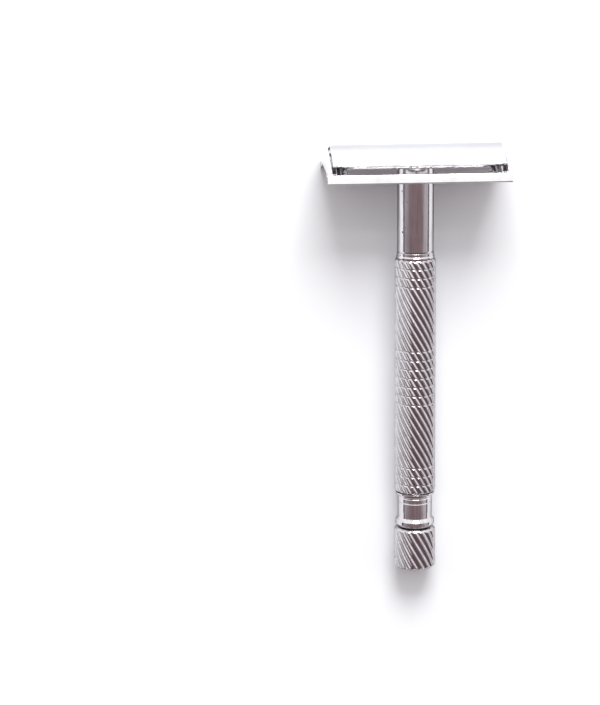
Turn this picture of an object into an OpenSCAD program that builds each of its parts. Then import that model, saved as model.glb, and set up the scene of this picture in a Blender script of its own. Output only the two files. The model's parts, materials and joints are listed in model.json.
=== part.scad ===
// Twist-to-open double-edge safety razor, lying on its side.
//
// Every piece is drawn upright first: X runs along the blade, Y across it, and Z up the
// handle from the bottom of the knob. lay() then puts the closed razor on a flat surface:
// the handle runs along +Y with the head at the far end, +Z is up, and the rear safety bar
// and the knob's rim touch Z = 0. In the head, u is the height above the underside of the
// safety bars. The knob's thread lifts the carriage; the doors hinge on the carriage, and
// fixed guide pins in the guard's end walls hold their lugs down, so that they swing open.

/* [Handle] */
// Height of the safety bars' underside above the bottom of the knob
guard_z = 102.2; // [98:0.1:110]
// Diameter of the fluted grip
grip_d = 10.4; // [10.2:0.1:10.5]
// Height of the fluted grip's lower end
grip_z0 = 20; // [19.5:0.1:21]
// Height of the fluted grip's upper end
grip_z1 = 81.4; // [78:0.1:84]
// Diameter of the smooth neck
neck_d = 9.2; // [9:0.1:9.6]
// Spacing of the turned rings on the grip
ring_pitch = 2.32; // [2.1:0.01:2.5]
// Diameter of the waist's barrel
waist_d = 8.8; // [8.6:0.1:9.4]

/* [Knob] */
// Diameter of the knob
knob_d = 10.5; // [10.3:0.1:10.8]
// Height of the knob
knob_h = 10.6; // [10.2:0.1:10.8]

/* [Head] */
// Length of the guard, over its end walls
guard_l = 46; // [45.8:0.1:47]
// Width of the guard, over its safety bars
guard_w = 24.6; // [24.4:0.1:25]
// Height of a safety bar
bar_h = 2.3; // [2.2:0.1:2.5]
// Height of the closed ridge where the doors meet
ridge_u = 8; // [7.9:0.1:8.3]
// Height of a closed door's outer edge
door_edge_u = 4.65; // [4.6:0.05:4.75]
// Thickness of the door sheet
door_t = 0.45; // [0.4:0.05:0.45]
// Length of the drain slot in each flange
drain_l = 36; // [30:0.5:36.5]

/* [Motion] */
// Rise of the carriage from closed to open
lift = 1.7; // [1.5:0.1:1.7]
// Angle through which each door swings
swing = 78; // [74:1:80]

/* [Blade] */
// Length of the double-edge blade
blade_l = 43; // [42.9:0.1:43]
// Flat width of the double-edge blade
blade_w = 22; // [21.8:0.1:22]
// Thickness of the blade
blade_t = 0.1; // [0.1:0.01:0.12]

/* [Hidden] */
$fn = 96;
far = 60;

// Handle
grip_r = grip_d / 2;
grip_chamfer = 0.7;
tube_r = 3.9;            // tube inside the grip
tube_z0 = 26;            // where the tube starts, above the ferrule's shank
neck_r = neck_d / 2;
stem_seat_r = 2.6;       // bore of the tube, and seat of the stem bush
spigot_r = 3.2;          // end of the tube, passing up through the guard plate
collar_h = 1.4;
collar_step = 0.35;      // how far the collar stays inside the grip
ring_w = 0.5;
ring_depth = 0.3;
ring_start = 2.5;        // from a grip end to its first ring
mid_rings = 7;
end_rings = 3;
waist_r = waist_d / 2;
ferrule_z0 = 11.3;
foot_ring_h = 1.3;
barrel_top = 17.4;
barrel_step = 0.25;      // how far the waist above the barrel is turned down
top_ring_z = 18.7;
ferrule_shank_r = tube_r;
ferrule_bore_r = 3.85;
ferrule_bore_top = 18.4;
ferrule_neck_r = 2.4;
bush_top = 16.6;
stem_bush_l = 6;
washer_t = 0.35;
washer_r = 4.2;

// Knob
knob_r = knob_d / 2;
knob_chamfer = 0.6;
cap_r = 4;
cap_h = 1.2;
socket_r = 3.55;         // bore that holds the spindle's root
spindle_r = 3;
spindle_shoulder = 9.8;
spindle_top = 18;
thrust_top = 16.9;
clip_z = 17;
clip_t = 0.5;
clip_r = 3.6;
clip_root_r = 2.6;
clip_gap = 2.4;
fit = 0.03;              // radial clearance of a turning or sliding fit

// Head
end_wall_t = 1.2;
wall_in = guard_l / 2 - end_wall_t;
half_w = guard_w / 2;
bar_t = 1.2;
bar_chamfer = 0.3;
bar_slant = 0.65;        // how far a safety bar leans back between its chamfers
bar_lean = bar_slant / (bar_h - 2 * bar_chamfer);
bar_in = half_w - bar_t;
arch_r = 23;
wall_peak_u = 6.3;
plate_u = 2.7;
plate_t = 0.6;
plate_top = plate_u + plate_t;
plate_half_w = 6.9;
plate_half_l = 19.3;
tab_half_w = 4.3;
flange_end = [bar_in + 0.4, 1];
wall_foot_u = 2.2;       // underside of an end wall, between the safety bars
drain_w = 3.6;
drain_y = 7.8;
lug_wall = 0.32;         // thickness left in a safety bar beside a lug
lug_floor_u = 1.35;

// Doors, given for the rear one
door_half_l = wall_in - 0.2;
door_gap = 0.12;
door_edge_y = 10.7;
door_arc_r = 33;
ridge_pt = [door_gap / 2, ridge_u];
edge_pt = [door_edge_y, door_edge_u];
door_centre = arc_centre(ridge_pt, edge_pt, door_arc_r);
ear_t = 0.8;
ear_in = door_half_l - ear_t;
ear_r = 0.78;
ear_top = [9.1, 4.6];
lug_r = 0.5;
pivot = [9.4, 1.5];
guide = pivot + [0.9, 0.7];
hinge_pin_r = 0.35;
guide_pin_r = 0.25;
slot_r = 0.31;
slot_steps = 5;

// Carriage
end_plate_t = 0.9;
end_plate_in = ear_in - 0.3 - end_plate_t;
end_plate_half_w = 5;
arm_root = [5.4, 4.35];
arm_r = 0.8;
bar_bottom_u = plate_top + 0.2;
centre_half_w = 4.6;
rib_half_w = 0.85;
rib_x0 = 5;
rib_l = 12;
rib_top_u = 7.2;
collar_r = 3.85;
collar_top_u = 4.1;
recess_r = 4.05;
recess_top_u = 4.3;
stem_r = 1.6;
stem_z0 = 3.2;
stem_root_r = 1.2;
stem_top_u = 6.6;
cap_nut_r = 2.2;
cap_nut_u = 5.6;
cap_nut_top_u = 7.1;

// Blade
blade_top_u = 6.62;
blade_arch_r = 24;
blade_half_chord = blade_arch_r * sin(blade_w / 2 / blade_arch_r * 180 / PI);
tab_w = 15;
tab_in = 18.9;
blade_hole_r = 2.6;
side_hole_r = 1.8;
side_hole_x = 13;
blade_slot = [36, 2.1];

// Lying on a flat surface
rest_z = knob_chamfer;
rest_head_z = guard_z + bar_chamfer;
tilt = atan((half_w - knob_r) / (rest_head_z - rest_z));
y_max = (guard_z + ridge_u) * cos(tilt) + door_gap / 2 * sin(tilt);
y_min = -(knob_r - knob_chamfer) * sin(tilt);
floor_z = rest_head_z * sin(tilt) - half_w * cos(tilt);

// Centre of the arc of radius r through p and q that bulges up and outward
function arc_centre(p, q, r) =
    let (m = (p + q) / 2, d = q - p, h = norm(d) / 2, n = [d[1], -d[0]] / norm(d))
    m + n * sqrt(r * r - h * h);

// Turn a vector anticlockwise in the Y-u plane
function turned(v, a) = [v[0] * cos(a) - v[1] * sin(a), v[0] * sin(a) + v[1] * cos(a)];

// Where the fixed guide pin is in the closed door's frame, at a share k of the motion
function slot_pt(k) = pivot + turned(guide - pivot - [0, lift * k], swing * k);

// From the upright drawing to the razor lying on its rear safety bar and its knob
module lay()
    translate([0, -(y_max + y_min) / 2, -floor_z])
    rotate([tilt, 0, 0])
    rotate([-90, 0, 0])
    children();

module in_head() lay() translate([0, 0, guard_z]) children();

// A Y-u outline drawn along X from x0 to x1
module along_x(x0, x1)
    translate([x0, 0, 0]) rotate([90, 0, 90]) linear_extrude(x1 - x0) children();

module both_ends() for (side = [0, 1]) mirror([side, 0, 0]) children();
module both_sides() for (side = [0, 1]) mirror([0, side, 0]) children();

module tube(z0, z1, r_out, r_in)
    translate([0, 0, z0]) difference() {
        cylinder(h = z1 - z0, r = r_out);
        translate([0, 0, -1]) cylinder(h = z1 - z0 + 2, r = r_in);
    }

// A straight bar with round ends from p to q, its sides a touch inside the tangents
module capsule(p, q, r) {
    side = 0.98 * r;
    translate(p) circle(r, $fn = 32);
    translate(q) circle(r, $fn = 32);
    translate(p) rotate(atan2(q[1] - p[1], q[0] - p[0]))
        translate([0, -side]) square([norm(q - p), 2 * side]);
}

// A turned outline, given as [radius, height] points, with a bore
module turned_piece(points, bore_r)
    difference() {
        rotate_extrude() polygon(points);
        translate([0, 0, -far]) cylinder(h = 4 * far, r = bore_r);
    }

// ---- Handle ----

module ring_groove(z)
    translate([0, 0, z]) rotate_extrude()
        polygon([[grip_r - ring_depth, 0], [grip_r + 0.2, -ring_w / 2 - 0.17],
            [grip_r + 0.2, ring_w / 2 + 0.17]]);

module handle_grip()
    lay() color("silver") difference() {
        turned_piece([[1, grip_z0], [grip_r - grip_chamfer, grip_z0],
            [grip_r, grip_z0 + grip_chamfer], [grip_r, grip_z1 - grip_chamfer],
            [grip_r - grip_chamfer, grip_z1], [1, grip_z1]], tube_r);
        for (i = [0 : end_rings - 1]) {
            ring_groove(grip_z0 + ring_start + i * ring_pitch);
            ring_groove(grip_z1 - ring_start - i * ring_pitch);
        }
        for (i = [0 : mid_rings - 1])
            ring_groove((grip_z0 + grip_z1) / 2 + (i - (mid_rings - 1) / 2) * ring_pitch);
    }

module neck_tube()
    lay() color("gainsboro") turned_piece([[1, tube_z0], [tube_r, tube_z0],
        [tube_r, grip_z1], [neck_r, grip_z1], [neck_r, guard_z + plate_u],
        [spigot_r, guard_z + plate_u], [spigot_r, guard_z + plate_top],
        [1, guard_z + plate_top]], stem_seat_r);

module neck_collar()
    lay() color("silver") turned_piece([[1, grip_z1], [grip_r - collar_step, grip_z1],
        [grip_r - collar_step, grip_z1 + collar_h / 2],
        [neck_r + 0.15, grip_z1 + collar_h], [1, grip_z1 + collar_h]], neck_r);

module waist_ferrule()
    lay() color("silver") difference() {
        rotate_extrude() polygon([[1, ferrule_z0], [waist_r + 0.3, ferrule_z0],
            [waist_r + 0.6, ferrule_z0 + 0.4], [waist_r + 0.6, ferrule_z0 + foot_ring_h],
            [waist_r, ferrule_z0 + foot_ring_h + 0.6], [waist_r, barrel_top],
            [waist_r - barrel_step, barrel_top + barrel_step],
            [waist_r - barrel_step, top_ring_z], [waist_r + 0.5, top_ring_z + 0.6],
            [waist_r + 0.5, grip_z0], [ferrule_shank_r, grip_z0],
            [ferrule_shank_r, tube_z0], [1, tube_z0]]);
        translate([0, 0, ferrule_z0 - 1])
            cylinder(h = ferrule_bore_top - ferrule_z0 + 1, r = ferrule_bore_r);
        cylinder(h = far, r = ferrule_neck_r);
    }

module knob_bush()
    lay() color("goldenrod") tube(ferrule_z0, bush_top, ferrule_bore_r, spindle_r + fit);

module friction_washer()
    lay() color("dimgray")
        tube(ferrule_z0 - washer_t, ferrule_z0, washer_r, spindle_r + 0.1);

module thrust_washer()
    lay() color("dimgray") tube(bush_top, thrust_top, clip_r, spindle_r + 0.1);

module stem_bush()
    lay() color("goldenrod")
        tube(guard_z - stem_bush_l, guard_z + plate_u, stem_seat_r, stem_r + fit);

// ---- Guard ----

// Y of a safety bar's leaning front at height u
function bar_front(u) = half_w - bar_lean * (u - bar_chamfer);

module safety_bar_outline()
    polygon([[bar_in + bar_chamfer, 0], [half_w - bar_chamfer, 0], [half_w, bar_chamfer],
        [half_w - bar_slant, bar_h - bar_chamfer],
        [half_w - bar_slant - bar_chamfer, bar_h], [bar_in - bar_slant, bar_h],
        [bar_in, bar_chamfer]]);

module flange_outline()
    capsule([plate_half_w - 0.2, plate_top - plate_t / 2], flange_end, plate_t / 2);

// A long slot with round ends, square to the sloping flange
module drain_slot()
    translate([0, drain_y, (plate_top + flange_end[1]) / 2])
    rotate([-atan((plate_top - plate_t / 2 - flange_end[1])
        / (flange_end[0] - plate_half_w + 0.2)), 0, 0])
    linear_extrude(4, center = true)
        capsule([-(drain_l - drain_w) / 2, 0], [(drain_l - drain_w) / 2, 0], drain_w / 2);

// Room for a door's lug behind the end of a safety bar
module lug_notch()
    along_x(ear_in - 0.3, wall_in)
        polygon([[bar_in - 2, lug_floor_u], [bar_front(lug_floor_u) - lug_wall, lug_floor_u],
            [bar_front(ridge_u) - lug_wall, ridge_u], [bar_in - 2, ridge_u]]);

module guard_plate()
    in_head() color("white") difference() {
        union() {
            both_sides() {
                along_x(-wall_in - 0.1, wall_in + 0.1) safety_bar_outline();
                along_x(-plate_half_l, plate_half_l) flange_outline();
            }
            along_x(-plate_half_l, plate_half_l)
                translate([-plate_half_w, plate_u]) square([2 * plate_half_w, plate_t]);
            along_x(-wall_in - 0.1, wall_in + 0.1)
                translate([-tab_half_w, plate_u]) square([2 * tab_half_w, plate_t]);
            both_ends() along_x(wall_in, wall_in + end_wall_t) end_wall_outline();
        }
        cylinder(h = 3 * plate_top, r = spigot_r, center = true);
        both_sides() drain_slot();
        both_ends() both_sides() {
            lug_notch();
            guide_pin();
        }
    }

module end_wall_outline()
    intersection() {
        translate([0, wall_peak_u - arch_r]) circle(arch_r, $fn = 180);
        polygon([[bar_in, 0], [half_w - bar_chamfer, 0], [half_w, bar_chamfer],
            [bar_front(ridge_u), ridge_u], [-bar_front(ridge_u), ridge_u],
            [-half_w, bar_chamfer], [bar_chamfer - half_w, 0], [-bar_in, 0],
            [-plate_half_w, wall_foot_u], [plate_half_w, wall_foot_u]]);
    }

module guard_collar()
    in_head() color("goldenrod")
        tube(plate_top, collar_top_u, collar_r, stem_seat_r);

// Drawn for the right-hand end of the rear side
module guide_pin()
    along_x(ear_in - 0.15, guard_l / 2) translate(guide) circle(guide_pin_r, $fn = 32);

module guide_pins() in_head() color("dimgray") both_ends() both_sides() guide_pin();

// ---- Knob ----

module twist_knob()
    lay() color("silver") difference() {
        rotate_extrude() polygon([[0, 0], [knob_r - knob_chamfer, 0], [knob_r, knob_chamfer],
            [knob_r, knob_h - knob_chamfer], [knob_r - knob_chamfer, knob_h], [0, knob_h]]);
        translate([0, 0, -1]) cylinder(h = cap_h + 1, r = cap_r);
        cylinder(h = spindle_shoulder, r = socket_r);
        cylinder(h = far, r = spindle_r);
    }

module knob_spindle()
    lay() color("goldenrod") difference() {
        union() {
            translate([0, 0, cap_h]) cylinder(h = spindle_shoulder - cap_h, r = socket_r);
            cylinder(h = spindle_top, r = spindle_r);
        }
        translate([0, 0, -1]) cylinder(h = cap_h + 1, r = cap_r);
        cylinder(h = far, r = stem_r + fit);
        tube(clip_z, clip_z + clip_t, far, clip_root_r);
    }

module knob_end_cap() lay() color("silver") cylinder(h = cap_h, r = cap_r);

module retaining_ring()
    lay() color("dimgray") difference() {
        tube(clip_z, clip_z + clip_t, clip_r, clip_root_r);
        translate([0, -clip_gap / 2, clip_z - 1]) cube([far, clip_gap, 3]);
    }

// ---- Carriage ----

module blade_arch(r) translate([0, blade_top_u - blade_arch_r]) circle(r, $fn = 180);

module under_blade() blade_arch(blade_arch_r - blade_t);

module lift_stem()
    lay() color("gray") union() {
        translate([0, 0, stem_z0])
            cylinder(h = guard_z + recess_top_u - stem_z0, r = stem_r);
        translate([0, 0, guard_z])
            cylinder(h = stem_top_u, r = stem_root_r);
    }

module stem_cap_nut()
    in_head() color("gray") difference() {
        translate([0, 0, cap_nut_u])
            cylinder(h = cap_nut_top_u - cap_nut_u, r = cap_nut_r);
        cylinder(h = stem_top_u, r = stem_root_r);
    }

module centre_bar()
    in_head() color("lightgray") difference() {
        union() {
            along_x(-end_plate_in, end_plate_in) intersection() {
                under_blade();
                translate([-centre_half_w, bar_bottom_u]) square([2 * centre_half_w, ridge_u]);
            }
            both_ends() translate([rib_x0, -rib_half_w, bar_bottom_u])
                cube([rib_l, 2 * rib_half_w, rib_top_u - bar_bottom_u]);
        }
        cylinder(h = recess_top_u, r = recess_r);
        cylinder(h = ridge_u, r = stem_root_r);
        translate([0, 0, cap_nut_u]) cylinder(h = ridge_u, r = cap_nut_r);
    }

module end_plate_outline()
    difference() {
        intersection() {
            under_blade();
            union() {
                translate([-end_plate_half_w, bar_bottom_u])
                    square([2 * end_plate_half_w, ridge_u]);
                both_arms() capsule(arm_root, pivot, arm_r);
            }
        }
        both_arms() translate(pivot) circle(hinge_pin_r, $fn = 32);
    }

module both_arms() for (side = [0, 1]) mirror([side, 0]) children();

module end_plate()
    along_x(end_plate_in, end_plate_in + end_plate_t) end_plate_outline();

module end_plate_right() in_head() color("silver") end_plate();

module end_plate_left() in_head() color("silver") mirror([1, 0, 0]) end_plate();

module hinge_pins()
    in_head() color("dimgray") both_ends() both_sides()
        along_x(end_plate_in, door_half_l) translate(pivot) circle(hinge_pin_r, $fn = 32);

module blade()
    in_head() color("lightsteelblue") difference() {
        intersection() {
            along_x(-blade_l / 2, blade_l / 2) difference() {
                blade_arch(blade_arch_r);
                under_blade();
            }
            translate([0, 0, 2]) linear_extrude(ridge_u) {
                square([2 * tab_in, 2 * blade_half_chord], center = true);
                square([blade_l, tab_w], center = true);
            }
        }
        translate([0, 0, 2]) linear_extrude(ridge_u) {
            square(blade_slot, center = true);
            circle(blade_hole_r);
            for (side = [-1, 1]) translate([side * side_hole_x, 0]) circle(side_hole_r);
        }
    }

// ---- Doors ----

module door_shell_outline()
    intersection() {
        difference() {
            translate(door_centre) circle(door_arc_r, $fn = 180);
            translate(door_centre) circle(door_arc_r - door_t, $fn = 180);
        }
        polygon([door_centre, door_centre + 1.2 * (ridge_pt - door_centre),
            door_centre + 1.2 * (edge_pt - door_centre)]);
        translate([door_gap / 2, 0]) square([far, far]);
    }

module ear_outline()
    difference() {
        union() {
            intersection() {
                capsule(pivot, ear_top, ear_r);
                translate(door_centre) circle(door_arc_r - door_t / 2, $fn = 180);
            }
            capsule(pivot, slot_pt(0), lug_r);
            capsule(slot_pt(0), slot_pt(1), lug_r);
        }
        translate(pivot) circle(hinge_pin_r + fit, $fn = 32);
        for (i = [1 : slot_steps])
            capsule(slot_pt((i - 1) / slot_steps), slot_pt(i / slot_steps), slot_r);
    }

// The rear door, in the head's frame
module door() {
    along_x(-door_half_l, door_half_l) door_shell_outline();
    both_ends() along_x(ear_in, door_half_l) ear_outline();
}

module door_rear() in_head() color("whitesmoke") door();

module door_front() in_head() color("whitesmoke") mirror([0, 1, 0]) door();

handle_grip();
neck_tube();
neck_collar();
waist_ferrule();
knob_bush();
friction_washer();
thrust_washer();
stem_bush();
guard_plate();
guard_collar();
guide_pins();
twist_knob();
knob_spindle();
knob_end_cap();
retaining_ring();
lift_stem();
centre_bar();
stem_cap_nut();
end_plate_left();
end_plate_right();
hinge_pins();
blade();
door_front();
door_rear();
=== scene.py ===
import json
import math

import bmesh
import bpy
from mathutils import Matrix, Vector
from mathutils.geometry import delaunay_2d_cdt


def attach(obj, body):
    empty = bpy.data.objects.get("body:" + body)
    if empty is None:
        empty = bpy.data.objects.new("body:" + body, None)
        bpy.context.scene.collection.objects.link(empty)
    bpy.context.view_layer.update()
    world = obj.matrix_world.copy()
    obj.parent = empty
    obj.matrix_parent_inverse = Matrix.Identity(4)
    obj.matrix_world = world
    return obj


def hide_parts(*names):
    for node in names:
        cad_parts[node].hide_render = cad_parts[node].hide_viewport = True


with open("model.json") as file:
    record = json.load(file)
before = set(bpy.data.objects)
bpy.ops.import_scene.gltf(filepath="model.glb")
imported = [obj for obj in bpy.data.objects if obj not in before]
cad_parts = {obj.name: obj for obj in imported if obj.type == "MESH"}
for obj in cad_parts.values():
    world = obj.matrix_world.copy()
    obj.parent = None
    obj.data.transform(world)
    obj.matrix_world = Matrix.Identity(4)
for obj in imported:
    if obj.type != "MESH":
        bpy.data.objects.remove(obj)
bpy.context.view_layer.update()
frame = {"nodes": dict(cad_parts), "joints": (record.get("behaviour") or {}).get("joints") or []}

MM = 0.001
TAU = 2 * math.pi

# Shapes are drawn upright in millimetres: X along the blade, Y across it with the front door
# at y < 0, and Z up the handle from the bottom of the knob. STAND lays them in the frame.
JOINTS = {j["name"]: j for j in frame["joints"]}
UP = Vector(JOINTS["carriage_lift"]["axis"]).normalized()
ALONG = Vector((1, 0, 0))
ACROSS = UP.cross(ALONG)
STAND = Matrix((ALONG, ACROSS, UP)).transposed().to_4x4()
STAND.translation = Vector(JOINTS["knob_turn"]["pos_m"]) - 5 * MM * UP

GUARD_Z = 102.2
HALF_L = 23.0
HALF_W = 12.3
BAR_H = 2.3
BAR_T = 1.2
BAR_SLANT = 0.65
BAR_CHAMFER = 0.3
BAR_IN = HALF_W - BAR_T
WALL_IN = 21.8
GRIP_Z0, GRIP_Z1, GRIP_R = 20.0, 81.4, 5.2
KNOB_H, KNOB_R = 10.6, 5.25
NECK_R = 4.6
TUBE_R, TUBE_BORE_R, TUBE_Z0 = 3.9, 2.6, 26
SPIGOT_R = 3.2
WAIST_R = 4.4
FERRULE_Z0 = 11.3
PLATE_U, PLATE_T = 2.7, 0.6
DOOR_L = 21.6
DOOR_R, DOOR_T = 33.0, 0.45
RIDGE = Vector((0.06, 8.0))
EDGE = Vector((10.7, 4.65))
EAR_IN = 20.8
PIVOT = Vector((9.4, 1.5))
GUIDE = PIVOT + Vector((0.9, 0.7))
LIFT, SWING = 1.7, math.radians(78)
BLADE_R, BLADE_TOP, BLADE_T = 24.0, 6.62, 0.1


# ---- Mesh tools: a shape is (vertices in mm, faces) ----

def rounded(corners, steps=5):
    """A closed outline of (x, y, radius) corners, with the corners rounded."""
    out = []
    n = len(corners)
    for i, (x, y, r) in enumerate(corners):
        p = Vector((x, y))
        if r <= 0:
            out.append(p)
            continue
        a = Vector(corners[i - 1][:2]) - p
        b = Vector(corners[(i + 1) % n][:2]) - p
        half = a.angle(b) / 2
        cut = min(r / math.tan(half), 0.48 * a.length, 0.48 * b.length)
        a.normalize()
        b.normalize()
        centre = p + (a + b).normalized() * (cut / math.cos(half))
        v0, v1 = p + a * cut - centre, p + b * cut - centre
        a0 = math.atan2(v0.y, v0.x)
        turn = (math.atan2(v1.y, v1.x) - a0 + math.pi) % TAU - math.pi
        for k in range(steps + 1):
            t = a0 + turn * k / steps
            out.append(centre + v0.length * Vector((math.cos(t), math.sin(t))))
    return out


def arc(centre, r, a0, a1, n):
    return [Vector(centre) + r * Vector((math.cos(a0 + (a1 - a0) * k / n),
                                         math.sin(a0 + (a1 - a0) * k / n)))
            for k in range(n + 1)]


def capsule(p, q, r, n=12):
    """A closed outline round a straight bar with round ends."""
    d = Vector(q) - Vector(p)
    t = math.atan2(d.y, d.x)
    return (arc(q, r, t - math.pi / 2, t + math.pi / 2, n)
            + arc(p, r, t + math.pi / 2, t + 3 * math.pi / 2, n))


def revolve(profile, columns=192):
    """A closed profile of (r, z) points turned round the handle's axis."""
    rows = [[(r * math.cos(TAU * j / columns), r * math.sin(TAU * j / columns), z)
             for j in range(columns)] for r, z in profile]
    return lattice(rows)


def lattice(rows):
    """Quads between closed rows of vertices; the last row joins the first."""
    columns = len(rows[0])
    faces = []
    for i in range(len(rows)):
        a, b = i * columns, (i + 1) % len(rows) * columns
        for j in range(columns):
            k = (j + 1) % columns
            faces.append((a + j, a + k, b + k, b + j))
    return [v for row in rows for v in row], faces


def prism(outline, x0, x1):
    """A y-u outline drawn along X."""
    n = len(outline)
    verts = [(x, p[0], p[1]) for x in (x0, x1) for p in outline]
    faces = [tuple(range(n)), tuple(range(2 * n - 1, n - 1, -1))]
    faces += [(i, (i + 1) % n, (i + 1) % n + n, i + n) for i in range(n)]
    return verts, faces


def inside(p, outline):
    hit = False
    for i in range(len(outline)):
        a, b = outline[i - 1], outline[i]
        if (a[1] > p[1]) != (b[1] > p[1]):
            if p[0] < a[0] + (p[1] - a[1]) / (b[1] - a[1]) * (b[0] - a[0]):
                hit = not hit
    return hit


def plate(outline, holes, low, high, fill=()):
    """A flat outline with holes, mapped to two faces by low(p) and high(p) and walled."""
    loops = [list(outline)] + [list(h) for h in holes]
    points, edges = [], []
    for loop in loops:
        first = len(points)
        points += [Vector(p) for p in loop]
        edges += [(first + i, first + (i + 1) % len(loop)) for i in range(len(loop))]
    points += [Vector(p) for p in fill
               if inside(p, outline) and not any(inside(p, h) for h in holes)]
    flat, _, tris = delaunay_2d_cdt(points, edges, [], 0, 1e-6, False)[:3]
    keep = []
    for t in tris:
        mid = (flat[t[0]] + flat[t[1]] + flat[t[2]]) / 3
        if inside(mid, outline) and not any(inside(mid, h) for h in holes):
            keep.append(tuple(t))
    count = {}
    for t in keep:
        for i in range(3):
            e = (t[i], t[(i + 1) % 3])
            count[e] = count.get(e, 0) + 1
    n = len(flat)
    verts = [low(p) for p in flat] + [high(p) for p in flat]
    faces = [tuple(reversed(t)) for t in keep] + [tuple(i + n for i in t) for t in keep]
    faces += [(a, b, b + n, a + n) for a, b in count if (b, a) not in count]
    return verts, faces


def grid(x0, x1, y0, y1, step):
    nx, ny = max(1, round((x1 - x0) / step)), max(1, round((y1 - y0) / step))
    return [(x0 + (x1 - x0) * (i + 0.5) / nx, y0 + (y1 - y0) * (j + 0.5) / ny)
            for i in range(nx) for j in range(ny)]


def mirrored(shape, x=1, y=1):
    verts, faces = shape
    return [(v[0] * x, v[1] * y, v[2]) for v in verts], faces


def raised(shape, z):
    return [(v[0], v[1], v[2] + z) for v in shape[0]], shape[1]


def joined(*shapes):
    verts, faces = [], []
    for v, f in shapes:
        faces += [tuple(i + len(verts) for i in face) for face in f]
        verts += v
    return verts, faces


def mesh_of(name, shape, matrix):
    mesh = bpy.data.meshes.new(name)
    mesh.from_pydata([matrix @ Vector(v) for v in shape[0]], [], shape[1])
    bm = bmesh.new()
    bm.from_mesh(mesh)
    bmesh.ops.remove_doubles(bm, verts=bm.verts, dist=1e-3 * matrix.median_scale)
    bmesh.ops.recalc_face_normals(bm, faces=bm.faces)
    bm.to_mesh(mesh)
    bm.free()
    return mesh


def boolean(shape, other, operation):
    """One shape cut by, or added to, another."""
    made = []
    for s in (shape, other):
        o = bpy.data.objects.new("scratch", mesh_of("scratch", s, Matrix.Identity(4)))
        bpy.context.scene.collection.objects.link(o)
        made.append(o)
    mod = made[0].modifiers.new("cut", "BOOLEAN")
    mod.operation = operation
    mod.solver = "EXACT"
    mod.object = made[1]
    graph = bpy.context.evaluated_depsgraph_get()
    mesh = bpy.data.meshes.new_from_object(made[0].evaluated_get(graph))
    out = ([tuple(v.co) for v in mesh.vertices], [tuple(f.vertices) for f in mesh.polygons])
    bpy.data.meshes.remove(mesh)
    for o in made:
        data = o.data
        bpy.data.objects.remove(o)
        bpy.data.meshes.remove(data)
    return out


def piece(name, shape, body, material, nodes, sharp=35, bevel=0.0):
    mesh = mesh_of(name, shape, STAND @ Matrix.Scale(MM, 4))
    obj = bpy.data.objects.new(name, mesh)
    bpy.context.scene.collection.objects.link(obj)
    mesh.materials.append(material)
    for polygon in mesh.polygons:
        polygon.use_smooth = True
    if bevel:
        mod = obj.modifiers.new("bevel", "BEVEL")
        mod.width = bevel * MM
        mod.segments = 3
        mod.limit_method = "ANGLE"
        mod.angle_limit = math.radians(sharp)
        mod.harden_normals = True
        weld = obj.modifiers.new("weld", "WELD")
        weld.merge_threshold = 0.003 * MM
    else:
        mesh.set_sharp_from_angle(angle=math.radians(sharp))
    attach(obj, body)
    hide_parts(*nodes)
    return obj


# ---- Materials ----

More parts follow.
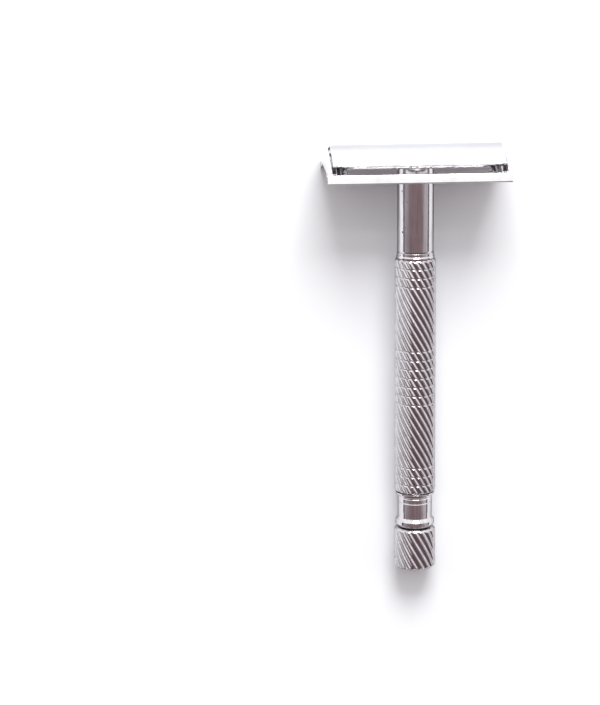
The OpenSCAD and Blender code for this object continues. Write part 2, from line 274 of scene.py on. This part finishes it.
def metal(name, colour, rough, spread=0.04, tone=0.06, scale=900, bump=0.0, pits=0.0,
          anisotropic=0.0, streaks=0.0, rim=1.0, heights=(), pit_scale=700):
    """Metal with a noisy roughness and tone, fine unevenness, and dark pits and lengthwise
    streaks if asked. rim darkens it at grazing angles. heights are (height over the guard's
    foot in mm, shade) stops of painted shade multiplied into the colour, lowest first."""
    mat = bpy.data.materials.new(name)
    mat.use_nodes = True
    nodes, links = mat.node_tree.nodes, mat.node_tree.links
    shader = nodes["Principled BSDF"]
    shader.inputs["Metallic"].default_value = 1.0
    shader.inputs["Specular IOR Level"].default_value = 0.5
    shader.inputs["Anisotropic"].default_value = anisotropic
    place = nodes.new("ShaderNodeTexCoord")

    def noise(size, detail, low, high):
        tex = nodes.new("ShaderNodeTexNoise")
        tex.inputs["Scale"].default_value = size
        tex.inputs["Detail"].default_value = detail
        links.new(place.outputs["Object"], tex.inputs["Vector"])
        span = nodes.new("ShaderNodeMapRange")
        span.inputs["From Min"].default_value = 0.3
        span.inputs["From Max"].default_value = 0.7
        span.inputs["To Min"].default_value = low
        span.inputs["To Max"].default_value = high
        links.new(tex.outputs["Fac"], span.inputs["Value"])
        return span.outputs["Result"]

    rough_value = noise(scale, 4, rough - spread, rough + spread)
    shade = noise(scale * 0.35, 3, 0.0, 1.0)
    mix = nodes.new("ShaderNodeMix")
    mix.data_type = "RGBA"
    mix.inputs["A"].default_value = (*[c * (1 - tone) for c in colour], 1)
    mix.inputs["B"].default_value = (*[min(1, c * (1 + tone)) for c in colour], 1)
    links.new(shade, mix.inputs["Factor"])
    colour_out = mix.outputs["Result"]
    if streaks:
        stretch = nodes.new("ShaderNodeMapping")
        stretch.inputs["Scale"].default_value = (2400, 70, 900)
        links.new(place.outputs["Object"], stretch.inputs["Vector"])
        lines = nodes.new("ShaderNodeTexNoise")
        lines.inputs["Scale"].default_value = 1.0
        lines.inputs["Detail"].default_value = 3
        links.new(stretch.outputs["Vector"], lines.inputs["Vector"])
        strength = nodes.new("ShaderNodeMapRange")
        strength.inputs["From Min"].default_value = 0.5
        strength.inputs["From Max"].default_value = 0.72
        strength.inputs["To Max"].default_value = streaks
        links.new(lines.outputs["Fac"], strength.inputs["Value"])
        worn = nodes.new("ShaderNodeMix")
        worn.data_type = "RGBA"
        worn.inputs["B"].default_value = (0.34, 0.26, 0.27, 1)
        links.new(strength.outputs["Result"], worn.inputs["Factor"])
        links.new(colour_out, worn.inputs["A"])
        colour_out = worn.outputs["Result"]
    if pits:
        spots = nodes.new("ShaderNodeTexVoronoi")
        spots.inputs["Scale"].default_value = pit_scale
        links.new(place.outputs["Object"], spots.inputs["Vector"])
        edge = nodes.new("ShaderNodeMapRange")
        edge.inputs["From Min"].default_value = 0.08
        edge.inputs["From Max"].default_value = 0.14
        edge.inputs["To Min"].default_value = pits
        edge.inputs["To Max"].default_value = 0.0
        links.new(spots.outputs["Distance"], edge.inputs["Value"])
        gate = nodes.new("ShaderNodeMath")
        gate.operation = "MULTIPLY"
        links.new(edge.outputs["Result"], gate.inputs[0])
        links.new(noise(420, 1, 0.0, 1.0), gate.inputs[1])
        dark = nodes.new("ShaderNodeMix")
        dark.data_type = "RGBA"
        dark.inputs["B"].default_value = (0.09, 0.075, 0.07, 1)
        links.new(gate.outputs["Value"], dark.inputs["Factor"])
        links.new(colour_out, dark.inputs["A"])
        colour_out = dark.outputs["Result"]
        more = nodes.new("ShaderNodeMath")
        more.operation = "MULTIPLY_ADD"
        more.inputs[1].default_value = 0.4
        links.new(gate.outputs["Value"], more.inputs[0])
        links.new(rough_value, more.inputs[2])
        rough_value = more.outputs["Value"]
    # Painted shade: the colour is multiplied by a ramp of shades set by height along the
    # handle's axis
    if heights:
        axis = STAND.to_3x3() @ Vector((0, 0, 1))
        along = nodes.new("ShaderNodeVectorMath")
        along.operation = "DOT_PRODUCT"
        along.inputs[1].default_value = axis
        links.new(place.outputs["Object"], along.inputs[0])
        level = nodes.new("ShaderNodeMapRange")
        foot = STAND.translation.dot(axis) + GUARD_Z * MM
        level.inputs["From Min"].default_value = foot
        level.inputs["From Max"].default_value = foot + 10 * MM
        links.new(along.outputs["Value"], level.inputs["Value"])
        ramp = nodes.new("ShaderNodeValToRGB")
        stops = ramp.color_ramp.elements
        while len(stops) < len(heights):
            stops.new(0.5)
        for stop, (height, shade) in zip(stops, heights):
            stop.position = height / 10
            stop.color = (*shade, 1)
        links.new(level.outputs["Result"], ramp.inputs["Fac"])
        painted_shade = nodes.new("ShaderNodeMix")
        painted_shade.data_type = "RGBA"
        painted_shade.blend_type = "MULTIPLY"
        painted_shade.inputs["Factor"].default_value = 1.0
        links.new(colour_out, painted_shade.inputs["A"])
        links.new(ramp.outputs["Color"], painted_shade.inputs["B"])
        colour_out = painted_shade.outputs["Result"]
    shader.inputs["Specular Tint"].default_value = (rim, rim, rim, 1)
    links.new(colour_out, shader.inputs["Base Color"])
    links.new(rough_value, shader.inputs["Roughness"])
    if bump:
        relief = nodes.new("ShaderNodeBump")
        relief.inputs["Strength"].default_value = 0.35
        relief.inputs["Distance"].default_value = bump * MM
        links.new(noise(2600, 3, 0.0, 1.0), relief.inputs["Height"])
        links.new(relief.outputs["Normal"], shader.inputs["Normal"])
    return mat


CHROME_FLUTED = metal("chrome_fluted", (0.68, 0.655, 0.675), 0.13, 0.04, 0.12, 1500, 0.02,
                      0.8, rim=0.3)
CHROME_POLISHED = metal("chrome_polished", (0.80, 0.775, 0.79), 0.10, 0.04, 0.05, 900, 0.004,
                        1.0, streaks=0.4, rim=0.3, pit_scale=420)
CHROME_HEAD = metal("chrome_head", (0.86, 0.85, 0.86), 0.10, 0.04, 0.05, 900, 0.004, 0.6)
# The doors' chrome carries painted shade: near-black below 4 mm over the guard's foot, where the
# lugs sit in shade, and a grey band of painted shade from 6.9 mm up to the ridge
CHROME_DOOR_PAINTED_SHADE = metal("chrome_door", (0.90, 0.895, 0.905), 0.09, 0.03, 0.03, 700, 0.003,
                    heights=((4.0, (0.12, 0.11, 0.12)), (4.3, (1, 1, 1)), (6.9, (1, 1, 1)),
                             (7.7, (0.66, 0.665, 0.685))))
# A darker copy of the chrome for the centre bar and end plates inside the head; its darker
# colour is painted shade
CHROME_INNER_PAINTED_SHADE = metal("chrome_inner_painted_shade", (0.40, 0.39, 0.40), 0.24, 0.06, 0.10, 1200, 0.01)
BRASS = metal("brass_turned", (0.76, 0.58, 0.29), 0.28, 0.06, 0.10, 1200, 0.01)
STEEL = metal("stem_steel", (0.56, 0.55, 0.55), 0.30, 0.06, 0.08, 1200, 0.01, anisotropic=0.3)
SPRING = metal("spring_steel", (0.36, 0.35, 0.36), 0.34, 0.06, 0.10, 1200, 0.01)
PIN = metal("pin_steel", (0.60, 0.60, 0.61), 0.22, 0.05, 0.06, 1200)
BLADE = metal("blade_steel", (0.70, 0.71, 0.73), 0.24, 0.05, 0.05, 1600, 0.004, anisotropic=0.4)

CAD_LOOK = {
    "knob_bush": BRASS, "stem_bush": BRASS, "guard_collar": BRASS, "knob_spindle": BRASS,
    "friction_washer": SPRING, "thrust_washer": SPRING, "retaining_ring": SPRING,
    "guide_pins": PIN, "hinge_pins": PIN, "lift_stem": STEEL, "stem_cap_nut": STEEL,
    "centre_bar": CHROME_INNER_PAINTED_SHADE, "end_plate_left": CHROME_INNER_PAINTED_SHADE,
    "end_plate_right": CHROME_INNER_PAINTED_SHADE,
}
for node, look in CAD_LOOK.items():
    data = frame["nodes"][node].data
    data.materials.clear()
    data.materials.append(look)


# ---- Handle ----

# One flute and its land, as (share of the pitch, share of the depth)
FLUTE = [(k / 14, (0.5 - 0.5 * math.cos(TAU * k / 14)) ** 1.25) for k in range(14)]
HELIX = math.tan(math.radians(31))


def fluted(radius, rows, starts, depth, tail):
    """A barrel with left-hand flutes. rows are (z, largest radius); tail is a plain (r, z) path
    that closes the inside."""
    out = []
    for z, limit in rows:
        twist = -HELIX * (z - rows[0][0]) / radius
        row = []
        for s in range(starts):
            for share, d in FLUTE:
                a = TAU * (s + share) / starts + twist
                r = min(radius - d * depth, limit)
                row.append((r * math.sin(a), -r * math.cos(a), z))
        out.append(row)
    for r, z in tail:
        twist = -HELIX * (z - rows[0][0]) / radius
        out.append([(r * math.sin(TAU * (s + share) / starts + twist),
                     -r * math.cos(TAU * (s + share) / starts + twist), z)
                    for s in range(starts) for share, d in FLUTE])
    return lattice(out)


def barrel_rows(z0, z1, radius, chamfer, rings=(), step=0.62):
    """Heights with the largest radius there: end chamfers and turned V rings."""
    def limit(z):
        r = min(radius, radius - chamfer + (z - z0) * 1.05, radius - chamfer + (z1 - z) * 1.05)
        for ring in rings:
            r = min(r, radius - 0.22 * max(0.0, 1 - abs(z - ring) / 0.25))
        return r
    heights = {z0, z1, z0 + chamfer * 0.5, z0 + chamfer, z1 - chamfer * 0.5, z1 - chamfer}
    count = round((z1 - z0) / step)
    for k in range(count + 1):
        z = z0 + (z1 - z0) * k / count
        if all(abs(z - ring) > 0.45 for ring in rings):
            heights.add(z)
    for ring in rings:
        heights.update(ring + d for d in (-0.33, -0.25, -0.19, -0.05, 0.05, 0.19, 0.25, 0.33))
    return [(z, limit(z)) for z in sorted(heights)]


PITCH = 2.32
RINGS = ([GRIP_Z0 + 2.5 + i * PITCH for i in range(3)]
         + [(GRIP_Z0 + GRIP_Z1) / 2 + (i - 3) * PITCH for i in range(7)]
         + [GRIP_Z1 - 2.5 - i * PITCH for i in range(3)])

piece("grip", fluted(GRIP_R, barrel_rows(GRIP_Z0, GRIP_Z1, GRIP_R, 0.7, RINGS), 20, 0.24,
                     [(TUBE_R, GRIP_Z1), (TUBE_R, GRIP_Z0)]),
      "handle", CHROME_FLUTED, ["handle_grip"], sharp=55)

piece("knob", fluted(KNOB_R, barrel_rows(0.0, KNOB_H, KNOB_R, 0.6), 18, 0.28,
                     [(3.0, KNOB_H), (3.0, 9.8), (3.55, 9.8), (3.55, 1.2), (4.0, 1.2),
                      (4.0, 0.0)]),
      "knob", CHROME_FLUTED, ["twist_knob"], sharp=55)

piece("knob_cap", revolve(rounded([(0, 0, 0), (4.0, 0, 0.12), (4.0, 1.2, 0), (0, 1.2, 0)])),
      "knob", CHROME_POLISHED, ["knob_end_cap"])

TUBE_TOP = GUARD_Z + PLATE_U + PLATE_T
piece("neck", revolve(rounded([(TUBE_BORE_R, TUBE_Z0, 0), (TUBE_R, TUBE_Z0, 0.2),
                               (TUBE_R, GRIP_Z1, 0),
                               (NECK_R - 0.1, GRIP_Z1, 0), (NECK_R - 0.1, GRIP_Z1 + 1.5, 0),
                               (NECK_R, GRIP_Z1 + 1.8, 0.3), (NECK_R, GUARD_Z + PLATE_U, 0.1),
                               (SPIGOT_R, GUARD_Z + PLATE_U, 0), (SPIGOT_R, TUBE_TOP, 0.1),
                               (TUBE_BORE_R, TUBE_TOP, 0)])),
      "handle", CHROME_POLISHED, ["neck_tube"])

COLLAR_R = GRIP_R - 0.35
piece("collar", revolve(rounded([(NECK_R - 0.1, GRIP_Z1, 0), (COLLAR_R, GRIP_Z1, 0),
                                 (COLLAR_R, GRIP_Z1 + 0.3, 0.12),
                                 (NECK_R + 0.08, GRIP_Z1 + 0.6, 0.3),
                                 (NECK_R + 0.05, GRIP_Z1 + 1.4, 0.1),
                                 (NECK_R - 0.1, GRIP_Z1 + 1.4, 0)])),
      "handle", CHROME_POLISHED, ["neck_collar"])

piece("waist", revolve(rounded([
    (3.85, FERRULE_Z0, 0), (WAIST_R + 0.3, FERRULE_Z0, 0),
    (WAIST_R + 0.58, FERRULE_Z0 + 0.4, 0.25), (WAIST_R + 0.58, FERRULE_Z0 + 1.3, 0.25),
    (WAIST_R - 0.1, FERRULE_Z0 + 1.9, 1.4), (WAIST_R, 15.0, 3.0), (WAIST_R - 0.03, 17.3, 0.1),
    (WAIST_R - 0.12, 17.45, 0.06), (WAIST_R, 17.65, 0.1), (WAIST_R, 18.6, 0.2),
    (WAIST_R - 0.3, 18.95, 0.1), (WAIST_R - 0.3, 19.25, 0.1), (WAIST_R + 0.5, 19.6, 0.1),
    (WAIST_R + 0.5, GRIP_Z0, 0.05), (TUBE_R, GRIP_Z0, 0), (TUBE_R, TUBE_Z0, 0.1),
    (2.4, TUBE_Z0, 0),
    (2.4, 18.4, 0), (3.85, 18.4, 0)])),
      "handle", CHROME_POLISHED, ["waist_ferrule"])


# ---- Guard ----

def bar_front(u):
    return HALF_W - BAR_SLANT * (u - BAR_CHAMFER) / (BAR_H - 2 * BAR_CHAMFER)


def bar_outline():
    return rounded([(BAR_IN, 0, 0.3), (HALF_W - 0.2, 0, 0.12), (HALF_W, BAR_CHAMFER, 0.15),
                    (bar_front(BAR_H), BAR_H, 0.2), (BAR_IN - BAR_SLANT, 2.05, 0.2)])


LUG_FLOOR_U, LUG_WALL = 1.35, 0.32
NOTCH = [(BAR_IN - 2, LUG_FLOOR_U), (bar_front(LUG_FLOOR_U) - LUG_WALL, LUG_FLOOR_U),
         (bar_front(4) - LUG_WALL, 4), (BAR_IN - 2, 4)]
bar = prism(bar_outline(), -HALF_L, HALF_L)
for side in (-1, 1):
    x0, x1 = sorted((side * (EAR_IN - 0.3), side * WALL_IN))
    bar = boolean(bar, prism(NOTCH, x0, x1), "DIFFERENCE")

# The stamped sheet: flat in the middle, then curving down to the safety bars
SHEET_PATH = [(0.0, 3.0), (6.2, 3.0), (7.4, 2.74), (8.6, 2.24), (9.9, 1.66), (11.3, 1.08)]


def sheet_at(s):
    """Height of the sheet's middle at a distance s from the middle of the head."""
    y = abs(s)
    for (y0, u0), (y1, u1) in zip(SHEET_PATH, SHEET_PATH[1:]):
        if y <= y1 or (y1, u1) == SHEET_PATH[-1]:
            t = (y - y0) / (y1 - y0)
            return u0 + (u1 - u0) * t


def sheet_point(p, offset):
    """A point of the sheet, offset from its middle along its normal."""
    e = 0.25
    slope = (sheet_at(abs(p[1]) + e) - sheet_at(max(0.0, abs(p[1]) - e))) / (2 * e)
    length = math.hypot(1, slope)
    side = 1 if p[1] >= 0 else -1
    y = abs(p[1]) - slope * offset / length
    return (p[0], side * y, sheet_at(abs(p[1])) + offset / length)


SHEET_L, SHEET_W = 19.3, SHEET_PATH[-1][0]
TAB_L, TAB_W = WALL_IN + 0.1, 4.3
DRAIN_L, DRAIN_Y, DRAIN_R = 16.2, 7.8, 1.78
sheet_outline = [Vector(p) for p in
                 ((-SHEET_L, -SHEET_W), (SHEET_L, -SHEET_W), (SHEET_L, -TAB_W), (TAB_L, -TAB_W),
                  (TAB_L, TAB_W), (SHEET_L, TAB_W), (SHEET_L, SHEET_W), (-SHEET_L, SHEET_W),
                  (-SHEET_L, TAB_W), (-TAB_L, TAB_W), (-TAB_L, -TAB_W), (-SHEET_L, -TAB_W))]
sheet_holes = [arc((0, 0), SPIGOT_R, 0, TAU, 64)[:-1]]
sheet_holes += [capsule((-DRAIN_L, y), (DRAIN_L, y), DRAIN_R) for y in (DRAIN_Y, -DRAIN_Y)]
stamped = plate(sheet_outline, sheet_holes, lambda p: sheet_point(p, -PLATE_T / 2),
                lambda p: sheet_point(p, PLATE_T / 2),
                grid(-19.0, 19.0, -SHEET_W, SHEET_W, 0.8))

# An end wall's front and back run on from the faces of the bars, a hair inside them
ARCH_R, ARCH_TOP = 23.0, 6.3
SKIN = 0.012


def wall_corner():
    """Where the leaning front meets the arch."""
    u = BAR_H
    for _ in range(20):
        u = ARCH_TOP - ARCH_R + math.sqrt(ARCH_R ** 2 - bar_front(u) ** 2)
    return u


top_u = wall_corner()
crown_turn = math.asin((bar_front(top_u) - SKIN) / ARCH_R)
crown = arc((0, ARCH_TOP - ARCH_R), ARCH_R, math.pi / 2 - crown_turn,
            math.pi / 2 + crown_turn, 40)
side_wall = [(bar_front(0.4) - SKIN, 0.4, 0), (*crown[0], 0.25)]
foot = [(-6.9, 2.2, 0.6), (6.9, 2.2, 0.6), (11.2, 0.25, 0)]
WALL = rounded(foot + side_wall + [(*p, 0) for p in crown[1:-1]]
               + [(-y, u, r) for y, u, r in reversed(side_wall)] + [(-11.2, 0.25, 0)])
walls = [prism(WALL, *sorted((side * WALL_IN, side * HALF_L))) for side in (-1, 1)]

piece("guard_bars", raised(joined(bar, mirrored(bar, y=-1)), GUARD_Z), "handle",
      CHROME_HEAD, ["guard_plate"], sharp=40, bevel=0.12)
piece("guard_sheet", raised(stamped, GUARD_Z), "handle", CHROME_HEAD,
      ["guard_plate"], sharp=50, bevel=0.1)
piece("guard_walls", raised(joined(*walls), GUARD_Z), "handle", CHROME_HEAD,
      ["guard_plate"], sharp=40, bevel=0.16)


# ---- Doors, drawn for the rear one ----

def arc_centre(p, q, r):
    d = q - p
    side = Vector((d.y, -d.x)).normalized()
    return (p + q) / 2 + side * math.sqrt(r * r - (d.length / 2) ** 2)


DOOR_C = arc_centre(RIDGE, EDGE, DOOR_R)


def angle_of(v):
    return math.atan2(v.y, v.x)


def turned(v, a):
    return Vector((v.x * math.cos(a) - v.y * math.sin(a), v.x * math.sin(a) + v.y * math.cos(a)))


def slot_point(k):
    return PIVOT + turned(GUIDE - PIVOT - Vector((0, LIFT * k)), SWING * k)


a_ridge, a_edge = angle_of(RIDGE - DOOR_C), angle_of(EDGE - DOOR_C)
outer = arc(DOOR_C, DOOR_R, a_ridge, a_edge, 28)
inner = arc(DOOR_C, DOOR_R - DOOR_T, a_edge, a_ridge, 28)
inner[-1] = Vector((0.06, inner[-1].y))
section = rounded([(*outer[0], 0.12)] + [(*p, 0) for p in outer[1:-1]] + [(*outer[-1], 0.1)]
                  + [(*inner[0], 0.1)] + [(*p, 0) for p in inner[1:]])
shell = prism(section, -DOOR_L, DOOR_L)

EAR_TOP, EAR_R, LUG_R = Vector((9.1, 4.6)), 0.78, 0.5
HINGE_HOLE_R, SLOT_R, SLOT_STEPS = 0.38, 0.31, 5
THROUGH = (19, 23)
ear = prism(capsule(PIVOT, EAR_TOP, EAR_R), EAR_IN, DOOR_L)
ear = boolean(ear, prism(arc(DOOR_C, DOOR_R - DOOR_T / 2, 0, TAU, 720)[:-1], *THROUGH),
              "INTERSECT")
for lug in (capsule(PIVOT, slot_point(0), LUG_R), capsule(slot_point(0), slot_point(1), LUG_R)):
    ear = boolean(ear, prism(lug, EAR_IN, DOOR_L), "UNION")
ear = boolean(ear, prism(arc(PIVOT, HINGE_HOLE_R, 0, TAU, 32)[:-1], *THROUGH), "DIFFERENCE")
for i in range(SLOT_STEPS):
    step = capsule(slot_point(i / SLOT_STEPS), slot_point((i + 1) / SLOT_STEPS), SLOT_R)
    ear = boolean(ear, prism(step, *THROUGH), "DIFFERENCE")

door = raised(shell, GUARD_Z)
lugs = raised(joined(ear, mirrored(ear, x=-1)), GUARD_Z)
for y, place in ((1, "rear"), (-1, "front")):
    piece(place + "_cap_door", mirrored(door, y=y), place + "_door", CHROME_DOOR_PAINTED_SHADE,
          ["door_" + place], sharp=40, bevel=0.1)
    piece(place + "_door_lugs", mirrored(lugs, y=y), place + "_door",
          CHROME_DOOR_PAINTED_SHADE, ["door_" + place], sharp=40)


# ---- Blade ----

def blade_point(p, depth):
    """A point of the blade, bent over its bed, tapering to the ground edges."""
    a = p[1] / BLADE_R
    thin = min(1.0, max(0.08, (11.0 - abs(p[1])) / 0.9))
    r = BLADE_R - BLADE_T / 2 + depth * BLADE_T / 2 * thin
    return (p[0], r * math.sin(a), BLADE_TOP - BLADE_R + r * math.cos(a))


blade_outline = rounded([(-18.9, -11.0, 0.05), (18.9, -11.0, 0.05), (18.9, -7.6, 0.3),
                         (21.5, -7.6, 0.5), (21.5, 7.6, 0.5), (18.9, 7.6, 0.3),
                         (18.9, 11.0, 0.05), (-18.9, 11.0, 0.05), (-18.9, 7.6, 0.3),
                         (-21.5, 7.6, 0.5), (-21.5, -7.6, 0.5), (-18.9, -7.6, 0.3)])
SLOT_W, SLOT_END = 1.05, 18.0
HOLES = ((13, 1.8, 16), (0, 2.6, 20), (-13, 1.8, 16))
blade_slot = []
for side, holes in ((1, HOLES), (-1, reversed(HOLES))):
    blade_slot += [Vector((side * SLOT_END, -side * SLOT_W)),
                   Vector((side * SLOT_END, side * SLOT_W))]
    start = 0 if side > 0 else math.pi
    for x, r, n in holes:
        a = math.asin(SLOT_W / r)
        blade_slot += arc((x, 0), r, start + a, start + math.pi - a, n)
edge_xs = [-18.8 + 37.6 * (i + 0.5) / 75 for i in range(75)]
fill = grid(-21.4, 21.4, -10.0, 10.0, 1.0)
fill += [(x, s * y) for x in edge_xs for s in (-1, 1) for y in (10.1, 10.5, 10.8)]
piece("razor_blade", raised(plate(blade_outline, [blade_slot], lambda p: blade_point(p, -1),
                                  lambda p: blade_point(p, 1), fill), GUARD_Z),
      "carriage", BLADE, ["blade"], sharp=50)


# ---- Floor, light and camera ----

floor_mesh = bpy.data.meshes.new("floor")
floor_mesh.from_pydata([(-3, -3, 0), (3, -3, 0), (3, 3, 0), (-3, 3, 0)], [], [(0, 1, 2, 3)])
floor = bpy.data.objects.new("floor", floor_mesh)
bpy.context.scene.collection.objects.link(floor)
paper = bpy.data.materials.new("pale_floor")
paper.use_nodes = True
matt = paper.node_tree.nodes["Principled BSDF"].inputs
matt["Base Color"].default_value = (0.92, 0.935, 0.955, 1)
matt["Roughness"].default_value = 0.9
matt["Specular IOR Level"].default_value = 0.1
floor_mesh.materials.append(paper)

lamp_data = bpy.data.lights.new("softbox", "AREA")
lamp_data.shape = "RECTANGLE"
lamp_data.size, lamp_data.size_y = 0.7, 0.6
lamp_data.energy = 18
lamp = bpy.data.objects.new("softbox", lamp_data)
bpy.context.scene.collection.objects.link(lamp)
lamp.location = (0.06, 1.1, 0.88)
lamp.rotation_euler = (Vector((0, 0, 0)) - lamp.location).to_track_quat("-Z", "Y").to_euler()

world = bpy.data.worlds.new("studio")
bpy.context.scene.world = world
world.use_nodes = True
wn, wl = world.node_tree.nodes, world.node_tree.links
sky = wn["Background"]
where = wn.new("ShaderNodeTexCoord")
split = wn.new("ShaderNodeSeparateXYZ")
wl.new(where.outputs["Generated"], split.inputs["Vector"])


def between(value, low, high, steps="SMOOTHSTEP"):
    node = wn.new("ShaderNodeMapRange")
    node.interpolation_type = steps
    node.inputs["From Min"].default_value = low
    node.inputs["From Max"].default_value = high
    wl.new(value, node.inputs["Value"])
    return node.outputs["Result"]


def maths(operation, a, b=None):
    node = wn.new("ShaderNodeMath")
    node.operation = operation
    for i, v in enumerate((a, b)):
        if v is None:
            continue
        if isinstance(v, (int, float)):
            node.inputs[i].default_value = v
        else:
            wl.new(v, node.inputs[i])
    return node.outputs["Value"]


def tint(under, over, factor):
    node = wn.new("ShaderNodeMix")
    node.data_type = "RGBA"
    for socket, value in (("A", under), ("B", over)):
        if isinstance(value, tuple):
            node.inputs[socket].default_value = (*value, 1)
        else:
            wl.new(value, node.inputs[socket])
    wl.new(factor, node.inputs["Factor"])
    return node.outputs["Result"]


# A dim warm ceiling, greyer towards the sides, a darker stretch and then grey towards the
# knob's end, a dark skirting at the sides, and a bright wall beyond the head
look = tint((0.235, 0.170, 0.182), (0.50, 0.485, 0.505), between(split.outputs["X"], 0.50, 0.93))
look = tint(look, (0.36, 0.345, 0.37),
            between(maths("MULTIPLY", split.outputs["X"], -1.0), 0.62, 0.95))
look = tint(look, (0.13, 0.09, 0.10),
            between(maths("MULTIPLY", split.outputs["Y"], -1.0), 0.44, 0.56))
look = tint(look, (0.30, 0.285, 0.30),
            between(maths("MULTIPLY", split.outputs["Y"], -1.0), 0.76, 0.92))
skirting = maths("MULTIPLY", between(maths("ABSOLUTE", split.outputs["X"]), 0.90, 0.94),
                 maths("SUBTRACT", 1.0, between(split.outputs["Z"], 0.12, 0.22)))
look = tint(look, (0.12, 0.105, 0.12), skirting)
look = tint(look, (1.12, 1.12, 1.13), between(split.outputs["Y"], -0.08, 0.14))
wl.new(look, sky.inputs["Color"])
sky.inputs["Strength"].default_value = 1.0

EYE = Vector((-79.02, 131.29, 768.64)) * MM
AIM = Vector((-28.72, 0.65, 0.0)) * MM
ROLL = -0.0111
camera_data = bpy.data.cameras.new("camera")
camera_data.lens = 155.54
camera_data.sensor_width = 36
camera_data.clip_start = 0.05
camera = bpy.data.objects.new("camera", camera_data)
bpy.context.scene.collection.objects.link(camera)
ahead_dir = (AIM - EYE).normalized()
right = ahead_dir.cross(Vector((0, 1, 0))).normalized()
above = right.cross(ahead_dir)
right, above = (math.cos(ROLL) * right + math.sin(ROLL) * above,
                math.cos(ROLL) * above - math.sin(ROLL) * right)
pose = Matrix((right, above, -ahead_dir)).transposed().to_4x4()
pose.translation = EYE
camera.matrix_world = pose
bpy.context.scene.camera = camera
bpy.context.scene.view_settings.view_transform = "Standard"
